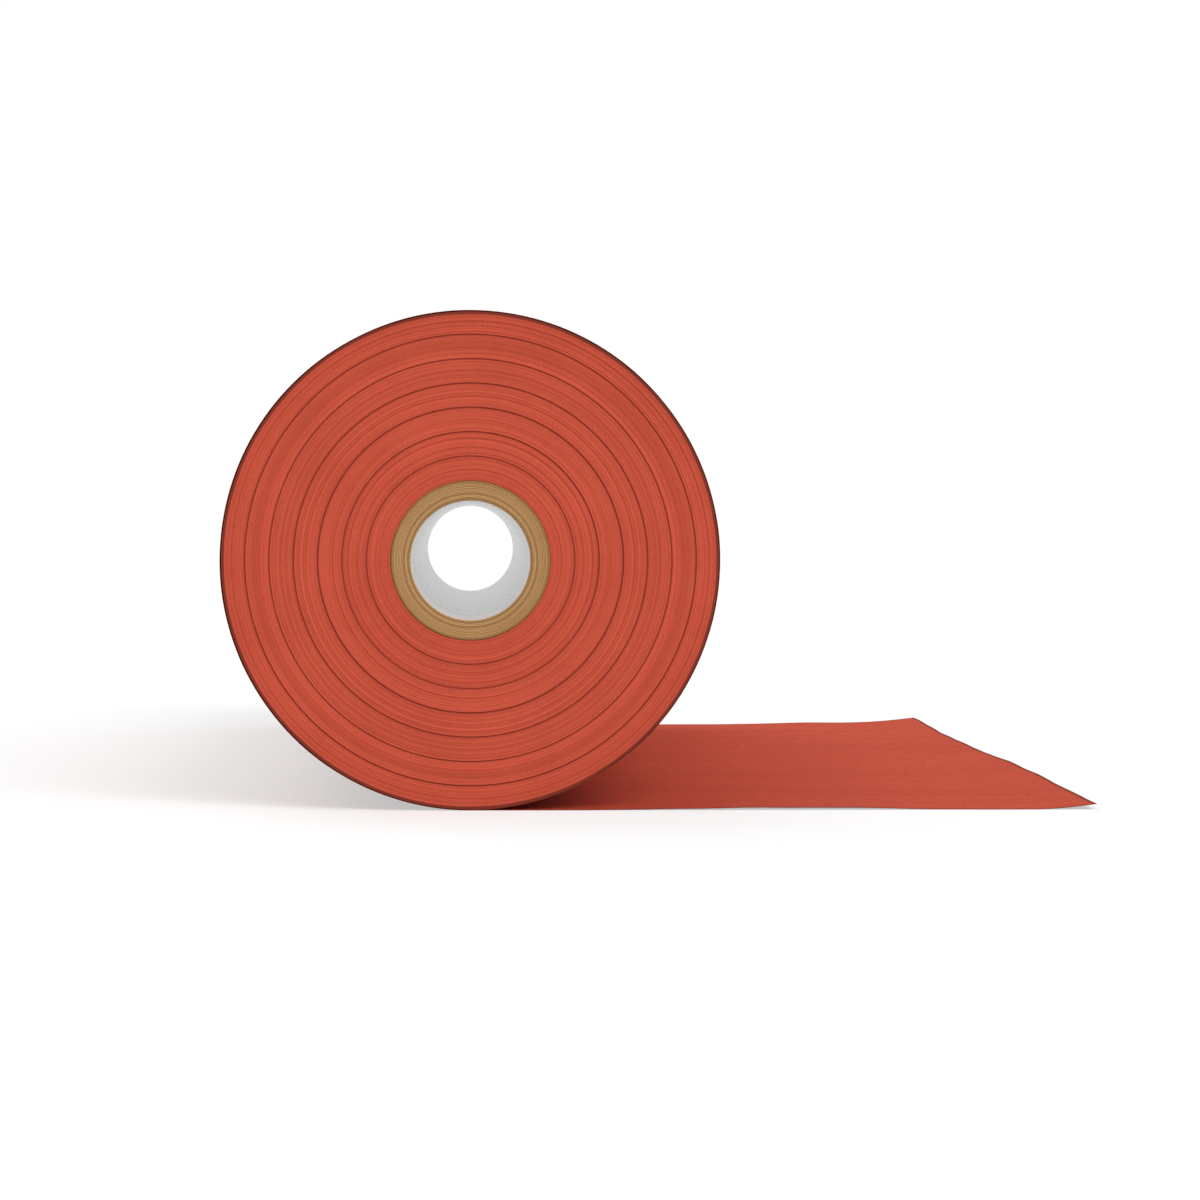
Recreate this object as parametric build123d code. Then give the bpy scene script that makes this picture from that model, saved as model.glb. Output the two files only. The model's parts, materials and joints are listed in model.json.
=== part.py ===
from build123d import *

import os
from math import acos, degrees, pi, sqrt

# A roll of red rosin paper on its paperboard core. It lies on its side, and the paper's
# free end is let out along the floor.
#
# The frame is in millimetres, +Z up. The roll's axis is the Y axis, and the origin lies on it,
# halfway along the roll. The paper is let out towards +X, and the end face at -Y is the front.

# The paper, from edge to edge and from end to end
paper_width = 36 * IN
paper_length = 520 * FT
paper_thickness = 0.25

# How the paper is wound: the share of the roll's section that is paper, and the rest is air
winding_tightness = 0.985

# The core, cut to the paper's width, with the saw's burr taken off its four edges
core_outside_diameter = 3 * IN
core_wall = 0.375 * IN
core_burr = 0.5
core_fit_clearance = 0.05

# The free end, measured along the paper from where it leaves the roll. Its last stretch
# keeps some of the roll's curl and lifts off the floor.
let_out_length = 300.0
curl_length = 60.0
curl_radius = 600.0

# Where the free end leaves the roll, the turns stay pressed together up to this gap
parting_gap = 0.1

# The turns that show on both end faces, as valleys evenly spaced between core and rim
valley_count = 6
valley_width = 0.8
valley_depth = 0.8

# What follows from those sizes
core_radius = core_outside_diameter / 2
bore_radius = core_radius - core_wall
winding_radius = core_radius + core_fit_clearance
turn_pitch = paper_thickness / winding_tightness
wound_length = paper_length - let_out_length
roll_radius = sqrt(winding_radius**2 + wound_length * turn_pitch / pi)
turn_count = (roll_radius - winding_radius) / turn_pitch
floor_level = -roll_radius
end_plane = paper_width / 2


def last_turn(turn_arc):
    """The outside of the last turn, clockwise from where it touches the floor.

    It is a spiral of four arcs, each a quarter of the turn's pitch smaller than the one before
    it and tangent to it, so that the turn ends one pitch above its start. turn_arc is how much
    of the fourth arc shows, in degrees.
    """
    step = turn_pitch / 4
    centres = [(0, 0), (-step, 0), (-step, step), (0, step)]
    sweeps = [90, 90, 90, turn_arc]
    return [
        CenterArc(centre, roll_radius - quarter * step, 270 - 90 * quarter, -sweep)
        for quarter, (centre, sweep) in enumerate(zip(centres, sweeps))
    ]


def parting_angle():
    """How far before the roll's lowest point the last turn parts from the sheet, in degrees."""
    step = turn_pitch / 4
    sheet_top = floor_level + paper_thickness
    return degrees(acos((step - sheet_top - parting_gap) / (roll_radius - 3 * step)))


def let_out_sheet(parting_point):
    """The sheet's outline, from where the last turn parts from it, round its free end, and back
    along the floor to the roll's lowest point."""
    flat_length = let_out_length - curl_length
    curl_sweep = degrees(curl_length / curl_radius)
    curl_centre = Vector(flat_length, floor_level + curl_radius)
    sheet_top = floor_level + paper_thickness
    curl_top = CenterArc(curl_centre, curl_radius - paper_thickness, 270, curl_sweep)
    curl_underside = CenterArc(curl_centre, curl_radius, 270, curl_sweep)
    return [
        Line(parting_point, (parting_point.X, sheet_top)),
        Line((parting_point.X, sheet_top), curl_top @ 0),
        curl_top,
        Line(curl_top @ 1, curl_underside @ 1),
        curl_underside,
        Line(curl_underside @ 0, (0, floor_level)),
    ]


def end_valley(radius):
    """A ring with a V section, for a valley between two turns on the end face at +Y."""
    half_width = valley_width / 2
    section = Polyline(
        (radius - half_width, end_plane),
        (radius, end_plane - valley_depth),
        (radius + half_width, end_plane),
        close=True,
    )
    return revolve(make_face(section), Axis.Y)


def paper_web():
    """The whole length of paper: the wound roll with the turns on its ends, and its free end."""
    turn = last_turn(90 - parting_angle())
    outline = Curve() + turn + let_out_sheet(turn[-1] @ 1)
    section = make_face(outline) - Circle(winding_radius)
    web = extrude(Plane.XZ * section, paper_width / 2, both=True)
    band = (roll_radius - winding_radius) / (valley_count + 1)
    for number in range(1, valley_count + 1):
        valley = end_valley(winding_radius + number * band)
        web -= [valley, mirror(valley, Plane.XZ)]
    return web


def core_tube():
    """The paperboard tube that the paper is wound on."""
    section = Circle(core_radius) - Circle(bore_radius)
    tube = extrude(Plane.XZ * section, paper_width / 2, both=True)
    return chamfer(tube.edges().filter_by(GeomType.CIRCLE), core_burr)


os.makedirs("parts", exist_ok=True)
export_step(paper_web(), "parts/paper_web.step")
export_step(core_tube(), "parts/core_tube.step")
print(f"roll diameter {2 * roll_radius:.1f} mm, {turn_count:.0f} turns")
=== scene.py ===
"""Dresses a roll of red rosin paper: the wound paper, its let-out end and its paperboard core.

Everything is in metres in the roll's own frame. The roll's axis is the Y axis, the floor that
it lies on is level, the paper is let out towards +X, and the end face at -Y is the front.
"""

import json
import logging
from dataclasses import dataclass
from enum import Enum
from math import asin, atan2, ceil, cos, hypot, pi, radians, sin, tau
from random import Random
from typing import Callable

import bpy
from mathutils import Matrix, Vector


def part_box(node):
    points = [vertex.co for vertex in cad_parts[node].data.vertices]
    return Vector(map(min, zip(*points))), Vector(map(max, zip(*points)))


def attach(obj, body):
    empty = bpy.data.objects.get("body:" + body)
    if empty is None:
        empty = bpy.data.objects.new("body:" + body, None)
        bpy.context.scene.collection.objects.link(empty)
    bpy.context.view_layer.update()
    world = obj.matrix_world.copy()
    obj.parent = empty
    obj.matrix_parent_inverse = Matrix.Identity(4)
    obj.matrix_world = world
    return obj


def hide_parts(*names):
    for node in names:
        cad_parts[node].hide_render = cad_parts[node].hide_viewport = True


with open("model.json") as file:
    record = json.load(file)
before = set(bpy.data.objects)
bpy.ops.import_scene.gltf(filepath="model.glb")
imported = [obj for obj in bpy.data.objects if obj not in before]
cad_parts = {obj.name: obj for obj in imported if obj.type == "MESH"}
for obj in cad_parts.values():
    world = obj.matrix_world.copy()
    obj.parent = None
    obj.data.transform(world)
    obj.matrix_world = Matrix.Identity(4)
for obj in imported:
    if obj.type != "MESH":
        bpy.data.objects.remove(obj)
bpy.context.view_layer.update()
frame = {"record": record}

Colour = tuple[float, float, float, float]
Socket = bpy.types.NodeSocket
Value = Socket | float

log = logging.getLogger("rosin_paper_roll")

MM = 0.001
AXLE = (0.0, 1.0, 0.0)

# How close two vertices are to be in the same place, and to be merged into one
SAME_PLACE = 0.01 * MM
MERGED = 0.002 * MM

# The paper's own UV map, in metres: along the paper's run, and across its width
PAPER_RUN = "paper_run"

# Colours that are used more than once
WHITE = (1.0, 1.0, 1.0, 1.0)
# A darker band along the paper's edges and along the rim of the end faces
DARKENED_EDGE = (0.168, 0.030, 0.018, 1.0)
FLECK = (0.16, 0.030, 0.020, 1.0)
PALE_FIBRE = (0.70, 0.22, 0.15, 1.0)


class Slot(Enum):
    """The record's material slots."""

    PAPER = "rosin_paper"
    BOARD = "core_board"


class Side(Enum):
    """The roll's two ends, as the way along the axis that each one faces."""

    FRONT = -1
    BACK = 1


class Way(Enum):
    """The ways in which a piece's surface can be moved."""

    OUTWARDS = "NORMAL"
    ALONG_FLOOR = "X"
    ALONG_AXIS = "Y"
    UP = "Z"


# Sizes that every sub-assembly shares


@dataclass(frozen=True)
class RollSizes:
    """The roll's main sizes, read from the frame, and how its paper is wound and let out."""

    half_length: float
    roll_radius: float
    core_radius: float
    bore_radius: float
    paper_thickness: float = 0.25 * MM
    winding_tightness: float = 0.985
    let_out_length: float = 300 * MM
    curl_length: float = 60 * MM
    curl_radius: float = 600 * MM
    valley_count: int = 6
    ply_count: int = 13
    liner_lead: float = 100 * MM

    @classmethod
    def from_frame(cls) -> "RollSizes":
        """Reads the sizes from the CAD nodes and the record's bore.

        Returns:
            The roll's sizes.
        """
        web_low, web_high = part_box("paper_web")
        core_low, core_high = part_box("core_tube")
        bore = next(mount for mount in frame["record"]["mounts"] if mount["name"] == "core_bore")
        return cls(
            half_length=(web_high.y - web_low.y) / 2,
            roll_radius=-web_low.z,
            core_radius=(core_high.x - core_low.x) / 2,
            bore_radius=bore["dims"]["r_mm"] * MM,
        )

    @property
    def floor(self) -> float:
        """The level of the floor."""
        return -self.roll_radius

    @property
    def turn_pitch(self) -> float:
        """How much each turn adds to the roll's radius: the paper and the air on it."""
        return self.paper_thickness / self.winding_tightness

    @property
    def flat_length(self) -> float:
        """How far the let-out paper lies flat, before its curl."""
        return self.let_out_length - self.curl_length

    @property
    def valley_pitch(self) -> float:
        """How far apart the valleys on the end faces are, measured along the radius."""
        return (self.roll_radius - self.core_radius) / (self.valley_count + 1)

    @property
    def ply_thickness(self) -> float:
        """How thick each ply of the core's wall is."""
        return (self.core_radius - self.bore_radius) / self.ply_count

    def valley_radii(self) -> list[float]:
        """The radius of each valley on the end faces, from the core outwards."""
        numbers = range(1, self.valley_count + 1)
        return [self.core_radius + number * self.valley_pitch for number in numbers]


# Modelling by hand


def is_among(place: Vector, others: list[Vector]) -> bool:
    """Says whether a place is the same as one of several others."""
    return min((place - other).length for other in others) < SAME_PLACE


def eased(value: float, start: float, end: float) -> float:
    """Goes smoothly from 0 at start to 1 at end, and stays there."""
    share = min(max((value - start) / (end - start), 0.0), 1.0)
    return share * share * (3 - 2 * share)


class Bench:
    """Models one mesh with Blender's own operators, the way it would be done by hand."""

    def __init__(self, name: str) -> None:
        """Starts a mesh as one vertex at the origin.

        Args:
            name: The piece's name.
        """
        bpy.ops.object.select_all(action="DESELECT")
        bpy.ops.mesh.primitive_plane_add(size=MM, location=(0, 0, 0))
        self.piece = bpy.context.active_object
        self.piece.name = name
        self.piece.data.name = name
        bpy.ops.object.mode_set(mode="EDIT")
        bpy.ops.mesh.select_mode(type="VERT")
        bpy.ops.mesh.select_all(action="SELECT")
        bpy.ops.mesh.merge(type="CENTER")

    def extrude(self, way: Vector) -> None:
        """Extrudes what is selected."""
        bpy.ops.mesh.extrude_region_move(TRANSFORM_OT_translate={"value": way})

    def draw(self, points: list[Vector], closed: bool = False) -> None:
        """Draws a line from point to point, by moving the first vertex and extruding it.

        Args:
            points: Where the line goes.
            closed: True joins the last point to the first.
        """
        bpy.ops.transform.translate(value=points[0])
        for here, there in zip(points, points[1:]):
            self.extrude(there - here)
        if closed:
            self.select(lambda place: is_among(place, [points[0], points[-1]]))
            bpy.ops.mesh.edge_face_add()
        bpy.ops.mesh.select_all(action="SELECT")

    def spin(self, angle: float, steps: int, centre: Vector | None = None) -> None:
        """Spins what is selected round an axis that runs along Y.

        Args:
            angle: How far to spin, in radians. From the front, more than 0 is clockwise.
            steps: How many segments the spin makes.
            centre: A point on the axis, or None for the roll's own axis.
        """
        bpy.ops.mesh.spin(
            steps=steps, angle=-angle, center=centre or Vector(), axis=AXLE, use_auto_merge=True
        )

    def select(self, wanted: Callable[[Vector], bool]) -> None:
        """Selects the vertices that a test picks by their place.

        Args:
            wanted: Says whether a vertex at a place is wanted.
        """
        bpy.ops.mesh.select_all(action="DESELECT")
        bpy.ops.object.mode_set(mode="OBJECT")
        for vertex in self.piece.data.vertices:
            vertex.select = wanted(vertex.co)
        bpy.ops.object.mode_set(mode="EDIT")

    def clean(self) -> None:
        """Merges doubled vertices, and turns the faces of a closed shape outwards."""
        bpy.ops.mesh.select_all(action="SELECT")
        bpy.ops.mesh.remove_doubles(threshold=MERGED)
        bpy.ops.mesh.normals_make_consistent(inside=False)

    def finish(self, sharper_than: float) -> bpy.types.Object:
        """Leaves edit mode and shades the piece.

        Args:
            sharper_than: Edges that turn by more than this, in radians, stay sharp.

        Returns:
            The finished piece.
        """
        bpy.ops.object.mode_set(mode="OBJECT")
        bpy.ops.object.select_all(action="DESELECT")
        self.piece.select_set(True)
        bpy.ops.object.shade_smooth_by_angle(angle=sharper_than)
        return self.piece


def apply_modifier(piece: bpy.types.Object, kind: str, **settings: object) -> None:
    """Adds a modifier to a piece and applies it.

    Args:
        piece: The piece to change, which is the active object.
        kind: The modifier's type.
        settings: The modifier's settings.
    """
    modifier = piece.modifiers.new(kind.lower(), kind)
    for name, value in settings.items():
        setattr(modifier, name, value)
    bpy.ops.object.modifier_apply(modifier=modifier.name)


def roll_unevenly(
    piece: bpy.types.Object,
    name: str,
    clouds: Vector,
    way: Way,
    strength: float,
    still: float = 0.0,
    group: str = "",
) -> None:
    """Moves a piece's surface by a cloud texture.

    Args:
        piece: The piece to change, which is the active object.
        name: The texture's name.
        clouds: How large the texture's clouds are along each axis.
        way: Which way the surface moves.
        strength: How far the texture's brightest places move, beyond its darkest.
        still: The texture's value that moves nothing, from 0 to 1.
        group: The vertex group that weighs the move. Without one, it is the same all over.
    """
    texture = bpy.data.textures.new(name, "CLOUDS")
    texture.noise_scale = 1.0
    guide = bpy.data.objects.new(name, None)
    bpy.context.scene.collection.objects.link(guide)
    guide.scale = clouds
    bpy.context.view_layer.update()
    apply_modifier(
        piece, "DISPLACE", texture=texture, texture_coords="OBJECT", texture_coords_object=guide,
        direction=way.value, strength=strength, mid_level=still, vertex_group=group,
    )
    bpy.data.objects.remove(guide)


def weigh(piece: bpy.types.Object, name: str, weight: Callable[[Vector], float]) -> str:
    """Makes a vertex group whose weights follow from each vertex's place.

    Args:
        piece: The piece that gets the group.
        name: The group's name.
        weight: Gives a vertex's weight, from 0 to 1.

    Returns:
        The group's name.
    """
    group = piece.vertex_groups.new(name=name)
    for vertex in piece.data.vertices:
        group.add([vertex.index], weight(vertex.co), "REPLACE")
    return name


# Finishes


class Nodes:
    """Builds a node tree, a line for each node."""

    def __init__(self, owner: bpy.types.Material | bpy.types.World) -> None:
        """Starts an empty tree.

        Args:
            owner: The material or the world that the tree belongs to.
        """
        owner.use_nodes = True
        self.tree = owner.node_tree
        self.tree.nodes.clear()

    def add(
        self, kind: str, inputs: dict[int | str, object] | None = None, **settings: object
    ) -> bpy.types.Node:
        """Adds a node.

        Args:
            kind: The node's type, without the ShaderNode in front.
            inputs: A value or a socket for each input, by its name or number.
            settings: The node's own settings.

        Returns:
            The new node.
        """
        node = self.tree.nodes.new("ShaderNode" + kind)
        for name, value in settings.items():
            setattr(node, name, value)
        for key, value in (inputs or {}).items():
            if isinstance(value, Socket):
                self.tree.links.new(value, node.inputs[key])
            else:
                node.inputs[key].default_value = value
        return node

    def math(self, operation: str, first: Value, second: Value = 0.0) -> Socket:
        """Works out one value from one or two others."""
        return self.add("Math", {0: first, 1: second}, operation=operation).outputs[0]

    def ramp(
        self, value: Value, start: float, end: float, low: float = 0.0, high: float = 1.0
    ) -> Socket:
        """Maps a value smoothly to another.

        Args:
            value: The value.
            start: The value that gives low, and so does any value before it.
            end: The value that gives high, and so does any value past it. It may be below start.
            low: The result at the start.
            high: The result at the end.

        Returns:
            The result.
        """
        inputs = {"Value": value, 1: start, 2: end, 3: low, 4: high}
        return self.add("MapRange", inputs, interpolation_type="SMOOTHSTEP").outputs[0]

    def noise(self, place: Socket, scale: float, detail: float = 2.0, rough: float = 0.5) -> Socket:
        """Adds a noise in space. Its value is about 0.5."""
        inputs = {"Vector": place, "Scale": scale, "Detail": detail, "Roughness": rough}
        return self.add("TexNoise", inputs).outputs[0]

    def line_noise(self, measure: Socket, scale: float, detail: float = 2.0) -> Socket:
        """Adds a noise along one measure. Its value is about 0.5."""
        inputs = {"W": measure, "Scale": scale, "Detail": detail}
        return self.add("TexNoise", inputs, noise_dimensions="1D").outputs[0]

    def stretched(self, run: Socket, per_metre: tuple[float, float]) -> Socket:
        """Scales a place on the paper by one factor along its run and another across it."""
        return self.add("Mapping", {"Vector": run, "Scale": (*per_metre, 1.0)}).outputs[0]

    def grain(
        self, run: Socket, per_metre: tuple[float, float], detail: float = 2.0, rough: float = 0.5
    ) -> Socket:
        """Adds a noise that is finer across the paper than along its run."""
        return self.noise(self.stretched(run, per_metre), 1.0, detail, rough)

    def cells(
        self, run: Socket, per_metre: tuple[float, float], **settings: object
    ) -> bpy.types.Node:
        """Splits the paper into uneven cells, so many to the metre along its run and across it."""
        inputs = {"Vector": self.stretched(run, per_metre), "Scale": 1.0}
        return self.add("TexVoronoi", inputs, **settings)

    def own_value(self, measure: Socket) -> Socket:
        """Gives each whole step of a measure a value of its own, from 0 to 1."""
        inputs = {"W": self.math("FLOOR", measure)}
        return self.add("TexWhiteNoise", inputs, noise_dimensions="1D").outputs[0]

    def polar(self, place: Socket) -> tuple[Socket, Socket, Socket]:
        """Takes a place apart, round the roll's axis.

        Args:
            place: The place.

        Returns:
            Its distance from the axis, its angle from the lowest line, clockwise as the front
            end shows it, and its place along the axis.
        """
        parts = self.add("SeparateXYZ", {0: place})
        flat = self.add("CombineXYZ", {0: parts.outputs[0], 2: parts.outputs[2]})
        radius = self.add("VectorMath", {0: flat.outputs[0]}, operation="LENGTH").outputs["Value"]
        left, down = (self.math("MULTIPLY", parts.outputs[axis], -1.0) for axis in (0, 2))
        return radius, self.math("ARCTAN2", left, down), parts.outputs[1]

    def total(self, *terms: tuple[Value, float]) -> Socket:
        """Adds up values.

        Args:
            terms: Each value and its weight.

        Returns:
            The sum.
        """
        result = None
        for value, weight in terms:
            share = self.math("MULTIPLY", value, weight)
            result = share if result is None else self.math("ADD", result, share)
        return result

    def mix(self, factor: Socket, first: Socket | Colour, second: Socket | Colour) -> Socket:
        """Mixes two colours."""
        return self.add("Mix", {0: factor, 6: first, 7: second}, data_type="RGBA").outputs[2]

    def tinted(self, colour: Socket, tint: Colour, mask: Socket, share: float) -> Socket:
        """Tints a colour where a mask is 1, by a share of the tint."""
        return self.mix(self.math("MULTIPLY", mask, share), colour, tint)


@dataclass(frozen=True)
class Finish:
    """What every finish has: its two colours, and how its surface takes the light.

    A shade that is this contrast away from 0.5 is wholly light or dark. The relief is a depth,
    and the roughness is given where the grain is low and where it is high.
    """

    light: Colour
    dark: Colour
    contrast: float
    relief: float
    roughness: tuple[float, float]
    gloss: float

    def shaded(self, nodes: Nodes, shade: Socket) -> Socket:
        """Turns a shade of about 0.5 into the finish's colours.

        Args:
            nodes: The material's nodes.
            shade: The shade.

        Returns:
            The colour.
        """
        ramp = nodes.ramp(shade, 0.5 - self.contrast, 0.5 + self.contrast)
        return nodes.mix(ramp, self.dark, self.light)

    def add_surface(self, nodes: Nodes, colour: Socket, height: Socket, grain: Socket) -> None:
        """Adds the shader and the output.

        Args:
            nodes: The material's nodes.
            colour: The base colour.
            height: The relief, from 0 to 1.
            grain: The noise, of about 0.5, that the roughness follows.
        """
        roughness = nodes.ramp(grain, 0.30, 0.70, *self.roughness)
        bump = nodes.add("Bump", {"Strength": 1.0, "Distance": self.relief, "Height": height})
        shader = nodes.add(
            "BsdfPrincipled",
            {
                "Base Color": colour,
                "Roughness": roughness,
                "Specular IOR Level": self.gloss,
                "Normal": bump.outputs[0],
            },
        )
        nodes.add("OutputMaterial", {"Surface": shader.outputs[0]})


@dataclass(frozen=True)
class Specks:
    """One kind of speck in the paper. There is one to a cell, each of its own size.

    The share says how strongly the tint shows, and the least and the most radius are shares of
    a cell. Swayed specks lie along bent lines. A speck's soft edge ends and is full at two
    shares of its radius.
    """

    tint: Colour
    share: float
    per_metre: tuple[float, float]
    least: float
    most: float
    swayed: bool = False
    soft_edge: tuple[float, float] = (1.1, 0.7)

    def scatter(self, nodes: Nodes, place: Socket) -> Socket:
        """Scatters the specks over the paper.

        Args:
            nodes: The material's nodes.
            place: The place on the paper.

        Returns:
            A value that is 1 in a speck and 0 beside it.
        """
        cells = nodes.cells(place, self.per_metre)
        chance = nodes.add("SeparateColor", {0: cells.outputs["Color"]}).outputs[0]
        rare = nodes.math("POWER", chance, 3.0)
        radius = nodes.math("ADD", nodes.math("MULTIPLY", rare, self.most - self.least), self.least)
        reach = nodes.math("DIVIDE", cells.outputs["Distance"], radius)
        return nodes.ramp(reach, *self.soft_edge)


@dataclass(frozen=True)
class PaperFace(Finish):
    """The flat side of rosin paper: cloudy, with fibres and flecks of recycled stock.

    An edge's two widths are where its colour ends and where it is full.
    """

    light: Colour = (0.575, 0.089, 0.049, 1.0)
    dark: Colour = (0.450, 0.063, 0.034, 1.0)
    contrast: float = 0.11
    relief: float = 0.10 * MM
    roughness: tuple[float, float] = (0.96, 0.86)
    gloss: float = 0.03
    sway: float = 12 * MM
    specks: tuple[Specks, ...] = (
        Specks(FLECK, 0.70, per_metre=(190.0, 190.0), least=0.03, most=0.20),
        Specks(FLECK, 0.45, per_metre=(430.0, 430.0), least=0.05, most=0.24),
        Specks(PALE_FIBRE, 0.50, per_metre=(85.0, 480.0), least=0.04, most=0.26, swayed=True),
        Specks(FLECK, 0.50, per_metre=(300.0, 75.0), least=0.03, most=0.20, swayed=True),
    )
    creased: Colour = (0.66, 0.150, 0.090, 1.0)
    crease_cells: tuple[float, float] = (6.0, 7.5)
    crease_width: float = 0.011
    edge_widths: tuple[float, float] = (2.1 * MM, 1.47 * MM)

    def creases(self, nodes: Nodes, run: Socket, swayed: Socket) -> Socket:
        """Draws the faint creases that handling leaves here and there.

        Args:
            nodes: The material's nodes.
            run: The place on the paper.
            swayed: The same place, moved a little to and fro.

        Returns:
            A value that is 1 on a crease and 0 beside it.
        """
        cells = nodes.cells(swayed, self.crease_cells, feature="DISTANCE_TO_EDGE").outputs[0]
        handled = nodes.ramp(nodes.noise(run, scale=6.0, detail=1.0), 0.52, 0.66)
        return nodes.math("MULTIPLY", nodes.ramp(cells, self.crease_width, 0.0), handled)

    def edges(self, nodes: Nodes, run: Socket, sizes: RollSizes) -> Socket:
        """Finds a band along the paper's edges, which is coloured darker: its two sides and its cut
        end.

        Args:
            nodes: The material's nodes.
            run: The place on the paper.
            sizes: The roll's sizes.

        Returns:
            A value that is 1 on an edge and 0 away from it.
        """
        parts = nodes.add("SeparateXYZ", {0: run})
        along, across = parts.outputs[0], parts.outputs[1]
        to_side = nodes.math("SUBTRACT", sizes.half_length, nodes.math("ABSOLUTE", across))
        to_end = nodes.math("SUBTRACT", sizes.let_out_length, along)
        return nodes.ramp(nodes.math("MINIMUM", to_side, to_end), *self.edge_widths)

    def build(self, sizes: RollSizes) -> bpy.types.Material:
        """Makes the material. It reads the paper's own UV map.

        Args:
            sizes: The roll's sizes.

        Returns:
            The material.
        """
        material = bpy.data.materials.new("rosin_paper_face")
        nodes = Nodes(material)
        run = nodes.add("UVMap", uv_map=PAPER_RUN).outputs[0]
        across = nodes.add("SeparateXYZ", {0: run}).outputs[1]

        mottle = nodes.grain(run, (5.0, 11.0))
        formation = nodes.grain(run, (130.0, 190.0), detail=7.0, rough=0.75)
        streaks = nodes.line_noise(across, scale=50.0, detail=5.0)
        fibres = nodes.grain(run, (420.0, 2000.0), rough=0.6)
        shade = nodes.total((mottle, 0.14), (formation, 0.50), (streaks, 0.12), (fibres, 0.24))
        colour = self.shaded(nodes, shade)

        wander = nodes.add("TexNoise", {"Vector": run, "Scale": 70.0, "Detail": 1.0}).outputs[1]
        sway = {0: wander, 1: (self.sway, self.sway, 0.0), 2: run}
        swayed = nodes.add("VectorMath", sway, operation="MULTIPLY_ADD").outputs[0]
        for kind in self.specks:
            speck = kind.scatter(nodes, swayed if kind.swayed else run)
            colour = nodes.tinted(colour, kind.tint, speck, kind.share)
        crease = self.creases(nodes, run, swayed)
        colour = nodes.tinted(colour, self.creased, crease, share=0.33)
        # A darker band along the paper's two sides and its cut end
        colour = nodes.tinted(colour, DARKENED_EDGE, self.edges(nodes, run, sizes), share=0.85)

        height = nodes.total((fibres, 0.35), (formation, 0.65), (crease, 4.0))
        self.add_surface(nodes, colour, height, formation)
        return material


@dataclass(frozen=True)
class TurnEdges(Finish):
    """The end face of the winding, where the edges of its turns show.

    The two widths of the rim, and of half a valley, are where its colour ends and where it is
    full.
    """

    light: Colour = (0.590, 0.095, 0.053, 1.0)
    dark: Colour = (0.430, 0.064, 0.036, 1.0)
    contrast: float = 0.16
    relief: float = 0.05 * MM
    roughness: tuple[float, float] = (0.96, 0.86)
    gloss: float = 0.06
    # Painted shade: the colour that the valleys are darkened towards
    valley: Colour = (0.300, 0.048, 0.029, 1.0)
    valley_widths: tuple[float, float] = (0.6 * MM, 0.4 * MM)
    rim_widths: tuple[float, float] = (1.9 * MM, 1.425 * MM)
    rim_raggedness: float = 0.5 * MM

    def valleys(self, nodes: Nodes, radius: Socket, sizes: RollSizes) -> Socket:
        """Finds the valleys between the turns, which the finish darkens with painted shade.

        Args:
            nodes: The material's nodes.
            radius: The distance from the roll's axis.
            sizes: The roll's sizes.

        Returns:
            A value that is 1 in a valley and 0 beside it.
        """
        found = None
        for ring in sizes.valley_radii():
            away = nodes.math("ABSOLUTE", nodes.math("SUBTRACT", radius, ring))
            line = nodes.ramp(away, *self.valley_widths)
            found = line if found is None else nodes.math("MAXIMUM", found, line)
        return found

    def build(self, sizes: RollSizes) -> bpy.types.Material:
        """Makes the material. Its lines follow the spiral that the paper is wound in.

        Args:
            sizes: The roll's sizes.

        Returns:
            The material.
        """
        material = bpy.data.materials.new("rosin_paper_turn_edges")
        nodes = Nodes(material)
        place = nodes.add("TexCoord").outputs["Object"]
        radius, angle, _ = nodes.polar(place)
        depth = nodes.math("SUBTRACT", sizes.roll_radius, radius)
        turns_in = nodes.math("DIVIDE", depth, sizes.turn_pitch)
        turn = nodes.math("SUBTRACT", turns_in, nodes.math("DIVIDE", angle, tau))

        own = nodes.own_value(turn)
        groups = nodes.line_noise(radius, scale=900.0, detail=3.0)
        belts = nodes.line_noise(radius, scale=140.0, detail=1.0)
        mottle = nodes.noise(place, scale=22.0, detail=3.0)
        fuzz = nodes.noise(place, scale=900.0)
        shade = nodes.total((own, 0.16), (groups, 0.30), (belts, 0.16), (mottle, 0.22), (fuzz, 0.16))
        colour = self.shaded(nodes, shade)
        valleys = self.valleys(nodes, radius, sizes)
        # Painted shade in the valleys between groups of turns
        colour = nodes.tinted(colour, self.valley, valleys, share=0.65)
        # A darker band along the rim of the end face
        ragged = nodes.math("MULTIPLY", nodes.noise(place, scale=60.0), self.rim_raggedness)
        rim = nodes.ramp(nodes.math("SUBTRACT", depth, ragged), *self.rim_widths)
        colour = nodes.tinted(colour, DARKENED_EDGE, rim, share=0.9)

        ridge = nodes.math("SINE", nodes.math("MULTIPLY", nodes.math("FRACT", turn), pi))
        height = nodes.total((ridge, 0.4), (own, 0.3), (fuzz, 0.3))
        self.add_surface(nodes, colour, height, fuzz)
        return material


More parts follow.
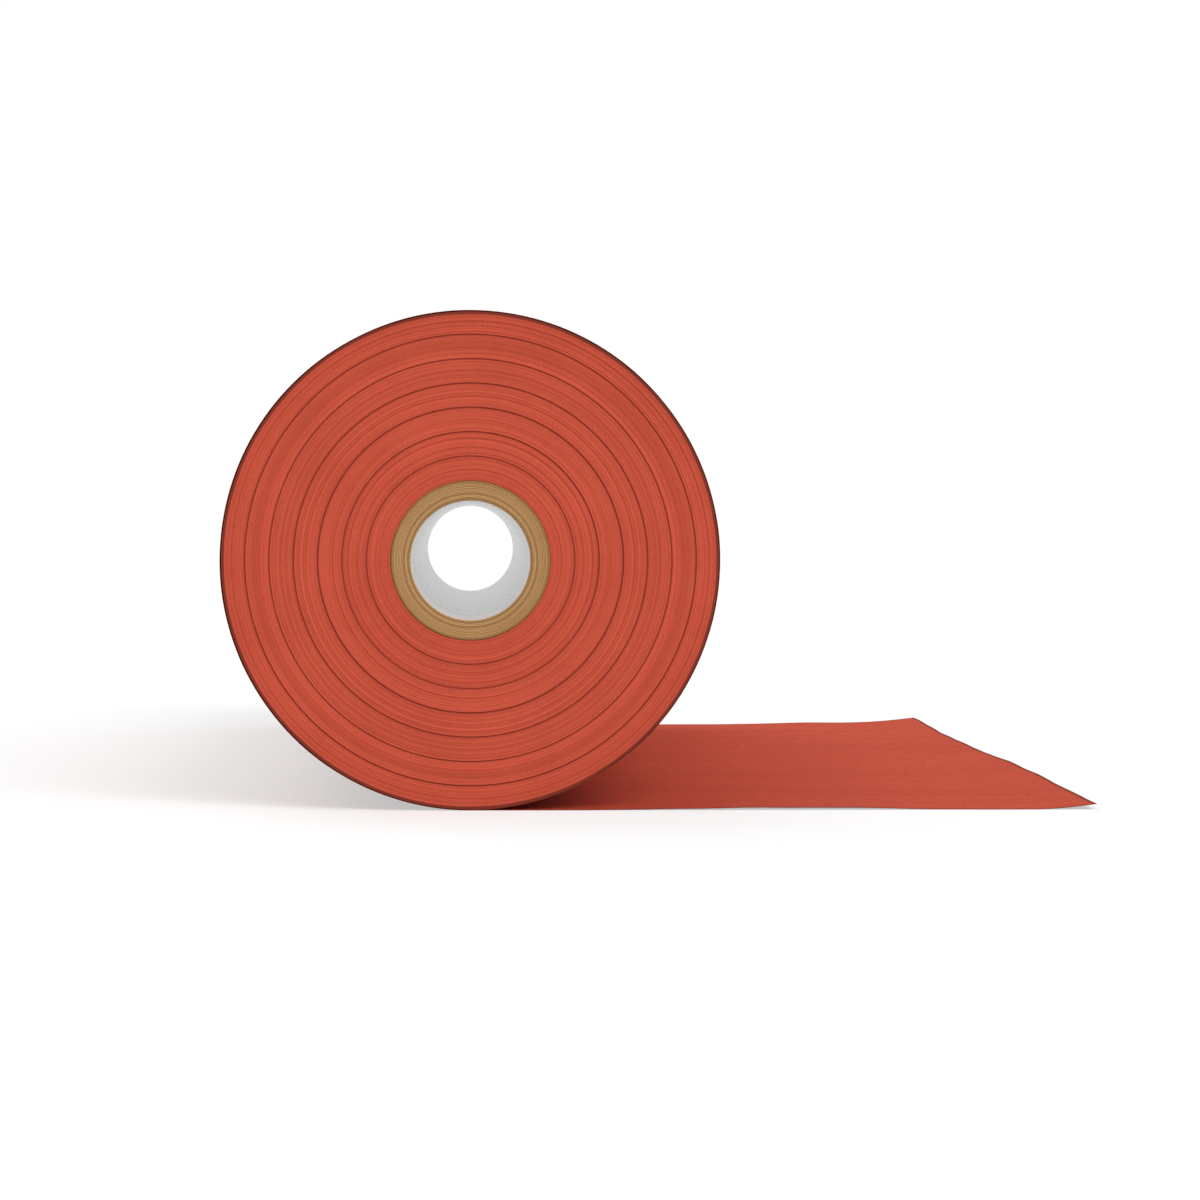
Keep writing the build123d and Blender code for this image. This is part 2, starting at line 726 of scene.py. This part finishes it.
@dataclass(frozen=True)
class CutPlies(Finish):
    """The core's sawn ends, where the plies of its board show as rings with glue between.

    A joint starts and is full at two shares of a ply, measured from its middle.
    """

    light: Colour = (0.525, 0.302, 0.126, 1.0)
    dark: Colour = (0.333, 0.180, 0.069, 1.0)
    contrast: float = 0.22
    relief: float = 0.12 * MM
    roughness: tuple[float, float] = (0.94, 0.80)
    gloss: float = 0.12
    glue: Colour = (0.215, 0.108, 0.042, 1.0)
    joint: tuple[float, float] = (0.26, 0.42)

    def build(self, sizes: RollSizes) -> bpy.types.Material:
        """Makes the material. Its rings follow the plies of the mesh.

        Args:
            sizes: The roll's sizes.

        Returns:
            The material.
        """
        material = bpy.data.materials.new("core_cut_plies")
        nodes = Nodes(material)
        place = nodes.add("TexCoord").outputs["Object"]
        radius, _, _ = nodes.polar(place)
        depth = nodes.math("SUBTRACT", radius, sizes.bore_radius)
        ply = nodes.math("DIVIDE", depth, sizes.ply_thickness)
        own = nodes.own_value(ply)
        within = nodes.math("ABSOLUTE", nodes.math("SUBTRACT", nodes.math("FRACT", ply), 0.5))
        joint = nodes.ramp(within, *self.joint)
        mottle = nodes.noise(place, scale=45.0, detail=3.0)
        sawn = nodes.noise(place, scale=1300.0, detail=3.0, rough=0.6)
        colour = self.shaded(nodes, nodes.total((own, 0.54), (mottle, 0.20), (sawn, 0.26)))
        colour = nodes.tinted(colour, self.glue, joint, share=0.72)
        self.add_surface(nodes, colour, nodes.total((sawn, 0.7), (joint, -0.3)), sawn)
        return material


@dataclass(frozen=True)
class BoreLiner(Finish):
    """The core's innermost ply: glazed board wound in a helix, with a seam at its edges.

    The seam's colour starts and is full at two depths below the wall.
    """

    light: Colour = (0.460, 0.262, 0.112, 1.0)
    dark: Colour = (0.360, 0.196, 0.078, 1.0)
    contrast: float = 0.14
    relief: float = 0.004 * MM
    roughness: tuple[float, float] = (0.14, 0.10)
    gloss: float = 0.012
    glue: Colour = (0.175, 0.088, 0.035, 1.0)
    seam: tuple[float, float] = (0.05 * MM, 0.25 * MM)

    def build(self, sizes: RollSizes) -> bpy.types.Material:
        """Makes the material. Its streaks run along the ply, so they follow the helix.

        Args:
            sizes: The roll's sizes.

        Returns:
            The material.
        """
        material = bpy.data.materials.new("core_bore_liner")
        nodes = Nodes(material)
        place = nodes.add("TexCoord").outputs["Object"]
        radius, angle, along = nodes.polar(place)
        helix = nodes.math("MULTIPLY", along, tau / sizes.liner_lead)
        phase = nodes.math("SUBTRACT", helix, angle)
        width = {0: nodes.math("COSINE", phase), 1: nodes.math("SINE", phase)}
        across = nodes.add("CombineXYZ", width).outputs[0]
        streaks = nodes.noise(across, scale=9.0, detail=6.0, rough=0.65)
        mottle = nodes.noise(place, scale=38.0, detail=3.0)
        fibres = nodes.noise(place, scale=850.0, detail=3.0, rough=0.6)
        colour = self.shaded(nodes, nodes.total((streaks, 0.40), (mottle, 0.28), (fibres, 0.32)))
        seam = nodes.ramp(nodes.math("SUBTRACT", radius, sizes.bore_radius), *self.seam)
        colour = nodes.tinted(colour, self.glue, seam, share=0.85)
        self.add_surface(nodes, colour, nodes.total((fibres, 0.6), (streaks, 0.4)), fibres)
        return material


# Sub-assemblies


@dataclass
class PaperboardCore:
    """The tube that the paper is wound on: cut plies at its ends, and a helical seam inside."""

    sizes: RollSizes
    rim_round: float = 0.5 * MM
    saw_wander: float = 0.12 * MM
    groove_share: float = 0.12
    groove_depth: float = 0.2 * MM
    seam_width: float = 1.4 * MM
    seam_depth: float = 0.3 * MM
    seam_segments: int = 90
    segments: int = 96
    sharp: float = radians(25)
    seed: int = 3

    def end_profile(self, side: Side) -> list[Vector]:
        """Draws an end face's profile, each ply cut a little shorter or longer.

        Args:
            side: Which end it is.

        Returns:
            The profile's points, from the bore to the outside.
        """
        draw = Random(self.seed + side.value)
        sizes = self.sizes
        plane = side.value * sizes.half_length
        corner = plane - side.value * self.rim_round
        ply = sizes.ply_thickness
        groove = ply * self.groove_share
        points = [Vector((sizes.bore_radius, corner, 0))]
        for number in range(sizes.ply_count):
            start = sizes.bore_radius + number * ply
            first, last = number == 0, number == sizes.ply_count - 1
            inner = start + (self.rim_round if first else groove)
            outer = start + ply - (self.rim_round if last else groove)
            level = plane - side.value * draw.uniform(0.0, self.saw_wander)
            points.append(Vector((inner, level, 0)))
            points.append(Vector((outer, level, 0)))
            if not last:
                points.append(Vector((start + ply, level - side.value * self.groove_depth, 0)))
        points.append(Vector((sizes.core_radius, corner, 0)))
        return points

    def wind_seam(self) -> bpy.types.Object:
        """Winds the gap that is left between the edges of the innermost ply.

        Returns:
            A strip that fills the gap, to be cut out of the tube.
        """
        sizes = self.sizes
        start = Vector((sizes.bore_radius, -sizes.half_length - sizes.liner_lead, 0))
        turns = ceil(2 * sizes.half_length / sizes.liner_lead) + 1
        into, across = Vector((self.seam_depth, 0, 0)), Vector((0, self.seam_width, 0))
        corners = [start - into, start + into, start + into + across, start - into + across]
        bench = Bench("bore_seam")
        bench.draw(corners, closed=True)
        bpy.ops.object.mode_set(mode="OBJECT")
        apply_modifier(
            bench.piece, "SCREW", axis="Y", angle=tau, screw_offset=sizes.liner_lead,
            iterations=turns, steps=self.seam_segments, render_steps=self.seam_segments,
        )
        bpy.ops.object.mode_set(mode="EDIT")
        for turn in (0, turns):
            moved = [corner + turn * Vector((0, sizes.liner_lead, 0)) for corner in corners]
            bench.select(lambda place: is_among(place, moved))
            bpy.ops.mesh.edge_face_add()
        bench.clean()
        bpy.ops.object.mode_set(mode="OBJECT")
        return bench.piece

    def build(self) -> bpy.types.Object:
        """Turns the tube on its axis, cuts the seam into its bore and dresses it.

        Returns:
            The core.
        """
        sizes = self.sizes
        seam = self.wind_seam()
        bench = Bench("paperboard_core")
        bench.draw(self.end_profile(Side.FRONT) + self.end_profile(Side.BACK)[::-1], closed=True)
        bench.spin(tau, self.segments)
        bench.clean()
        bpy.ops.object.mode_set(mode="OBJECT")
        apply_modifier(
            bench.piece, "BOOLEAN", operation="DIFFERENCE", solver="EXACT", object=seam
        )
        bpy.data.objects.remove(seam)
        piece = bench.finish(sharper_than=self.sharp)
        piece.data.materials.append(CutPlies().build(sizes))
        piece.data.materials.append(BoreLiner().build(sizes))
        rim = sizes.half_length - self.rim_round
        below_seam = sizes.bore_radius + 1.5 * self.seam_depth
        for face in piece.data.polygons:
            radius = hypot(face.center.x, face.center.z)
            face.material_index = int(radius < below_seam and abs(face.center.y) < rim)
        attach(piece, "root")
        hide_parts("core_tube")
        return piece


@dataclass
class WoundPaper:
    """The paper on the core. The edges of its turns make the roll's two end faces.

    The turns lie in bands, whose widths vary between two shares of a common width. Each band is
    set back by anything up to the deepest, and most often by about the usual.
    """

    sizes: RollSizes
    core_gap: float = 0.05 * MM
    loose_turn: float = 0.52 * MM
    bands_between_valleys: int = 16
    band_widths: tuple[float, float] = (0.5, 1.5)
    band_chamfer: float = 0.04 * MM
    usual_setback: float = 0.05 * MM
    deepest_setback: float = 0.45 * MM
    valley_depth: float = 0.8 * MM
    valley_width: float = 0.9 * MM
    end_unevenness: float = 0.25 * MM
    segments: int = 160
    sharp: float = radians(25)
    seed: int = 11

    def band_edges(self, draw: Random) -> list[tuple[float, float]]:
        """Splits the radius into bands of a few turns each, with room for the valleys.

        Args:
            draw: Where the random widths come from.

        Returns:
            The inner and outer radius of each band.
        """
        sizes = self.sizes
        outside = sizes.roll_radius - self.loose_turn
        rings = [sizes.core_radius, *sizes.valley_radii(), outside]
        bands = []
        for ring, (start, end) in enumerate(zip(rings, rings[1:])):
            low = start + (self.valley_width / 2 if ring else self.core_gap)
            high = end - (self.valley_width / 2 if ring < sizes.valley_count else 0.0)
            widths = [draw.uniform(*self.band_widths) for _ in range(self.bands_between_valleys)]
            scale = (high - low) / sum(widths)
            for width in widths:
                bands.append((low, low + width * scale))
                low += width * scale
        return bands

    def end_profile(self, side: Side) -> list[Vector]:
        """Draws an end face's profile: bands of turns, with a valley after each group of them.

        Args:
            side: Which end it is.

        Returns:
            The profile's points, from the core to the outside.
        """
        draw = Random(self.seed + side.value)
        plane = side.value * self.sizes.half_length
        points = []
        for number, (inner, outer) in enumerate(self.band_edges(draw)):
            if number and number % self.bands_between_valleys == 0:
                middle = (points[-1].x + inner) / 2
                points.append(Vector((middle, plane - side.value * self.valley_depth, 0)))
            setback = draw.triangular(0.0, self.deepest_setback, self.usual_setback)
            level = plane - side.value * setback
            chamfer = min(self.band_chamfer, (outer - inner) / 4)
            points.append(Vector((inner + chamfer, level, 0)))
            points.append(Vector((outer - chamfer, level, 0)))
        return points

    def build(self) -> bpy.types.Object:
        """Turns the winding on its axis, lets its ends lie unevenly, and dresses it.

        Returns:
            The wound paper.
        """
        bench = Bench("wound_paper")
        bench.draw(self.end_profile(Side.FRONT) + self.end_profile(Side.BACK)[::-1], closed=True)
        bench.spin(tau, self.segments)
        bench.clean()
        piece = bench.finish(sharper_than=self.sharp)
        clouds = Vector((45, 45, 45)) * MM
        roll_unevenly(piece, "uneven_ends", clouds, Way.ALONG_AXIS, self.end_unevenness, still=0.5)
        piece.data.materials.append(TurnEdges().build(self.sizes))
        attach(piece, "root")
        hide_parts("paper_web")
        return piece


@dataclass
class FreeEnd:
    """The last turn round the roll and, from its lowest line, the paper let out on the floor.

    The heights and depths say how uneven the paper is. The last turn's bulges fade towards the
    floor between two heights and towards the rims within a reach, and the let-out paper's waves
    begin between two distances from the roll's lowest line.
    """

    sizes: RollSizes
    band_height: float = 0.8 * MM
    dent_depth: float = 0.9 * MM
    bulge_heights: tuple[float, float] = (2 * MM, 30 * MM)
    bulge_fade: float = 70 * MM
    rim_flare: float = 0.3 * MM
    flare_reach: float = 25 * MM
    wave_height: float = 4.5 * MM
    wave_starts: tuple[float, float] = (40 * MM, 140 * MM)
    cut_wander: float = 1.2 * MM
    cut_reach: float = 12 * MM
    strips: int = 130
    quarter_steps: int = 44
    flat_steps: int = 24
    curl_steps: int = 10
    sharp: float = radians(30)

    def quarter_centres(self) -> list[Vector]:
        """The centres of the four arcs that make the last turn a spiral."""
        step = self.sizes.turn_pitch / 4
        return [Vector((x, 0, z)) for x, z in [(0, 0), (-step, 0), (-step, step), (0, step)]]

    def draw_web(self) -> Bench:
        """Draws the paper's outer side: round the roll, then along the floor to the curl.

        Returns:
            The bench with the paper on it, without a thickness.
        """
        sizes = self.sizes
        bench = Bench("last_turn_and_free_end")
        start = Vector((0, -sizes.half_length, sizes.floor))
        bench.draw([start, start + Vector((0, 2 * sizes.half_length, 0))])
        bpy.ops.mesh.subdivide(number_cuts=self.strips - 1)
        for centre in self.quarter_centres():
            bench.spin(pi / 2, self.quarter_steps, centre)
        bench.select(lambda place: is_among(place, [Vector((0, place.y, sizes.floor))]))
        for _ in range(self.flat_steps):
            bench.extrude(Vector((sizes.flat_length / self.flat_steps, 0, 0)))
        above = Vector((sizes.flat_length, 0, sizes.floor + sizes.curl_radius))
        bench.spin(-sizes.curl_length / sizes.curl_radius, self.curl_steps, above)
        bench.clean()
        return bench

    def is_let_out(self, place: Vector) -> bool:
        """Says whether a place on the paper is past the roll, along the floor."""
        return place.x > 0 and hypot(place.x, place.z) > self.sizes.roll_radius

    def station(self, place: Vector) -> float:
        """Works out where along the paper a place is.

        Args:
            place: A place on the paper's outer side.

        Returns:
            The distance along the paper from the roll's lowest line. It is less than 0 on the
            roll.
        """
        sizes = self.sizes
        past_flat = place.x - sizes.flat_length
        if self.is_let_out(place):
            if past_flat <= 0:
                return place.x
            return sizes.flat_length + sizes.curl_radius * asin(past_flat / sizes.curl_radius)
        angle = atan2(-place.x, -place.z) % tau
        inside = hypot(place.x, place.z) < sizes.roll_radius - sizes.turn_pitch / 2
        if inside and angle < pi / 2:
            angle += tau
        return -angle * sizes.roll_radius

    def lay_uv(self, piece: bpy.types.Object) -> None:
        """Gives the paper its UV map.

        Args:
            piece: The paper's outer side.
        """
        mesh = piece.data
        layer = mesh.uv_layers.new(name=PAPER_RUN)
        stations = [self.station(vertex.co) for vertex in mesh.vertices]
        for loop in mesh.loops:
            vertex = mesh.vertices[loop.vertex_index]
            layer.data[loop.index].uv = (stations[loop.vertex_index], vertex.co.y)

    def on_roll(self, place: Vector) -> float:
        """Weighs a place on the roll, less near the floor."""
        height = place.z - self.sizes.floor
        return 0.0 if self.is_let_out(place) else eased(height, *self.bulge_heights)

    def at_rims(self, place: Vector) -> float:
        """Weighs a place on the roll that is near one of its two rims."""
        rim = self.sizes.half_length
        return self.on_roll(place) * eased(abs(place.y), rim - self.flare_reach, rim)

    def between_rims(self, place: Vector) -> float:
        """Weighs a place on the roll, less near its two rims."""
        rim = self.sizes.half_length
        return self.on_roll(place) * eased(abs(place.y), rim, rim - self.bulge_fade)

    def on_floor(self, place: Vector) -> float:
        """Weighs a place on the let-out paper, less near the roll."""
        return eased(place.x, *self.wave_starts) if self.is_let_out(place) else 0.0

    def at_cut(self, place: Vector) -> float:
        """Weighs a place that is near the cut end."""
        end = self.sizes.let_out_length
        return eased(place.x, end - self.cut_reach, end)

    def soften(self, piece: bpy.types.Object) -> None:
        """Lets the last turn bulge a little in bands, and the free end lie in low waves.

        Args:
            piece: The paper's outer side.
        """
        around = weigh(piece, "round_the_roll", self.between_rims)
        rims = weigh(piece, "loose_rims", self.at_rims)
        along = weigh(piece, "along_the_floor", self.on_floor)
        cut = weigh(piece, "hand_cut_edge", self.at_cut)
        for name, clouds, way, strength, still, group in (
            ("hard_bands", (900, 26, 900), Way.OUTWARDS, self.band_height, 0.0, around),
            ("soft_dents", (90, 150, 90), Way.OUTWARDS, self.dent_depth, 0.0, around),
            ("flared_rims", (60, 60, 60), Way.OUTWARDS, self.rim_flare, 0.0, rims),
            ("low_waves", (110, 260, 110), Way.UP, self.wave_height, 0.4, along),
            ("hand_cut", (900, 70, 900), Way.ALONG_FLOOR, self.cut_wander, 0.5, cut),
        ):
            roll_unevenly(piece, name, Vector(clouds) * MM, way, strength, still, group)
        for vertex in piece.data.vertices:
            vertex.co.z = max(vertex.co.z, self.sizes.floor)

    def build(self) -> bpy.types.Object:
        """Draws the paper, gives it its thickness and dresses it.

        Returns:
            The last turn and the free end, in one piece.
        """
        sizes = self.sizes
        bench = self.draw_web()
        bpy.ops.object.mode_set(mode="OBJECT")
        piece = bench.piece
        top = max(piece.data.polygons, key=lambda face: face.center.z)
        if top.normal.z < 0:
            piece.data.flip_normals()
        self.lay_uv(piece)
        self.soften(piece)
        apply_modifier(
            piece, "SOLIDIFY", thickness=sizes.paper_thickness, offset=-1.0, use_even_offset=True
        )
        bench.finish(sharper_than=self.sharp)
        piece.data.materials.append(PaperFace().build(sizes))
        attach(piece, "root")
        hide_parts("paper_web")
        return piece


# The studio


@dataclass(frozen=True)
class Studio:
    """A white floor, soft light and the camera, which looks along the roll's axis.

    The roll's centre and radius in pixels say where it is in the picture.
    """

    sizes: RollSizes
    camera_distance: float = 2.2
    camera_height: float = 20 * MM
    camera_reach: float = 200.0
    sensor: float = 36.0
    frame_pixels: float = 1200.0
    centre_pixels: tuple[float, float] = (470.5, 560.5)
    radius_pixels: float = 250.0
    sky_light: float = 0.55
    floor_grey: float = 0.5
    floor_size: float = 60.0
    floor_gap: float = 0.02 * MM

    def white_to_camera(self, nodes: Nodes) -> Socket:
        """Tells the rays that see the background from those that only light the roll.

        Args:
            nodes: The nodes of the floor or the world.

        Returns:
            A value that is 1 for camera, glossy and transmission rays, and 0 for others.
        """
        path = nodes.add("LightPath")
        seen = path.outputs["Is Camera Ray"]
        for name in ("Is Glossy Ray", "Is Transmission Ray"):
            seen = nodes.math("MAXIMUM", seen, path.outputs[name])
        return seen

    def build_world(self) -> None:
        """Makes the soft light from all round, and the white that the camera sees behind."""
        world = bpy.data.worlds.new("studio")
        bpy.context.scene.world = world
        nodes = Nodes(world)
        light = nodes.add("Background", {"Color": WHITE, "Strength": self.sky_light}).outputs[0]
        white = nodes.add("Background", {"Color": WHITE, "Strength": 1.0}).outputs[0]
        seen = self.white_to_camera(nodes)
        both = nodes.add("MixShader", {0: seen, 1: light, 2: white})
        nodes.add("OutputWorld", {"Surface": both.outputs[0]})

    def build_floor(self) -> None:
        """Lays the floor: pale, and lifted to white for the camera, with its shadows kept."""
        bpy.ops.object.select_all(action="DESELECT")
        bpy.ops.mesh.primitive_plane_add(size=self.floor_size, location=(0, 0, 0))
        floor = bpy.context.active_object
        floor.name = "studio_floor"
        floor.location.z = self.sizes.floor - self.floor_gap
        material = bpy.data.materials.new("studio_floor")
        nodes = Nodes(material)
        grey = nodes.add("BsdfDiffuse", {"Color": (self.floor_grey,) * 3 + (1.0,)})
        lift = nodes.math("MULTIPLY", self.white_to_camera(nodes), 1 - self.floor_grey)
        glow = nodes.add("Emission", {"Color": WHITE, "Strength": lift})
        both = nodes.add("AddShader", {0: grey.outputs[0], 1: glow.outputs[0]})
        nodes.add("OutputMaterial", {"Surface": both.outputs[0]})
        floor.data.materials.append(material)

    def add_sun(
        self, name: str, strength: float, from_right: float, height: float, soft: float
    ) -> None:
        """Adds one soft lamp, far away.

        Args:
            name: The lamp's name.
            strength: Its light, in watts per square metre.
            from_right: Where it stands, in degrees round from the front to the right.
            height: How high it stands, in degrees.
            soft: How wide it looks, in degrees.
        """
        lamp = bpy.data.lights.new(name, "SUN")
        lamp.energy = strength
        lamp.angle = radians(soft)
        holder = bpy.data.objects.new(name, lamp)
        bpy.context.scene.collection.objects.link(holder)
        turn, rise = radians(from_right), radians(height)
        towards = Vector((sin(turn) * cos(rise), -cos(turn) * cos(rise), sin(rise)))
        holder.rotation_euler = towards.to_track_quat("Z", "Y").to_euler()

    def build_camera(self) -> None:
        """Sets the camera on the roll's axis, a little above it, and aims it."""
        sizes = self.sizes
        scale = sizes.roll_radius / self.radius_pixels
        middle = self.frame_pixels / 2
        aim = Vector((
            (middle - self.centre_pixels[0]) * scale,
            -sizes.half_length,
            (self.centre_pixels[1] - middle) * scale,
        ))
        stand = Vector((0, -sizes.half_length - self.camera_distance, self.camera_height))
        lens = bpy.data.cameras.new("camera")
        lens.sensor_width = self.sensor
        lens.lens = self.sensor * (aim - stand).length / (self.frame_pixels * scale)
        lens.clip_end = self.camera_reach
        camera = bpy.data.objects.new("camera", lens)
        bpy.context.scene.collection.objects.link(camera)
        camera.location = stand
        camera.rotation_euler = (stand - aim).to_track_quat("Z", "Y").to_euler()
        bpy.context.scene.camera = camera

    def build(self) -> None:
        """Builds the whole studio."""
        self.build_world()
        self.build_floor()
        self.add_sun("key", strength=2.2, from_right=22, height=30, soft=35)
        self.add_sun("back", strength=0.9, from_right=205, height=40, soft=45)
        self.build_camera()
        bpy.context.scene.view_settings.view_transform = "Standard"


def main() -> None:
    """Builds the roll and the studio round it."""
    logging.basicConfig(level=logging.INFO, format="%(message)s")
    sizes = RollSizes.from_frame()
    for assembly in (PaperboardCore(sizes), WoundPaper(sizes), FreeEnd(sizes)):
        piece = assembly.build()
        log.info("%s: %d faces", piece.name, len(piece.data.polygons))
    Studio(sizes).build()


if __name__ == "__main__":
    main()
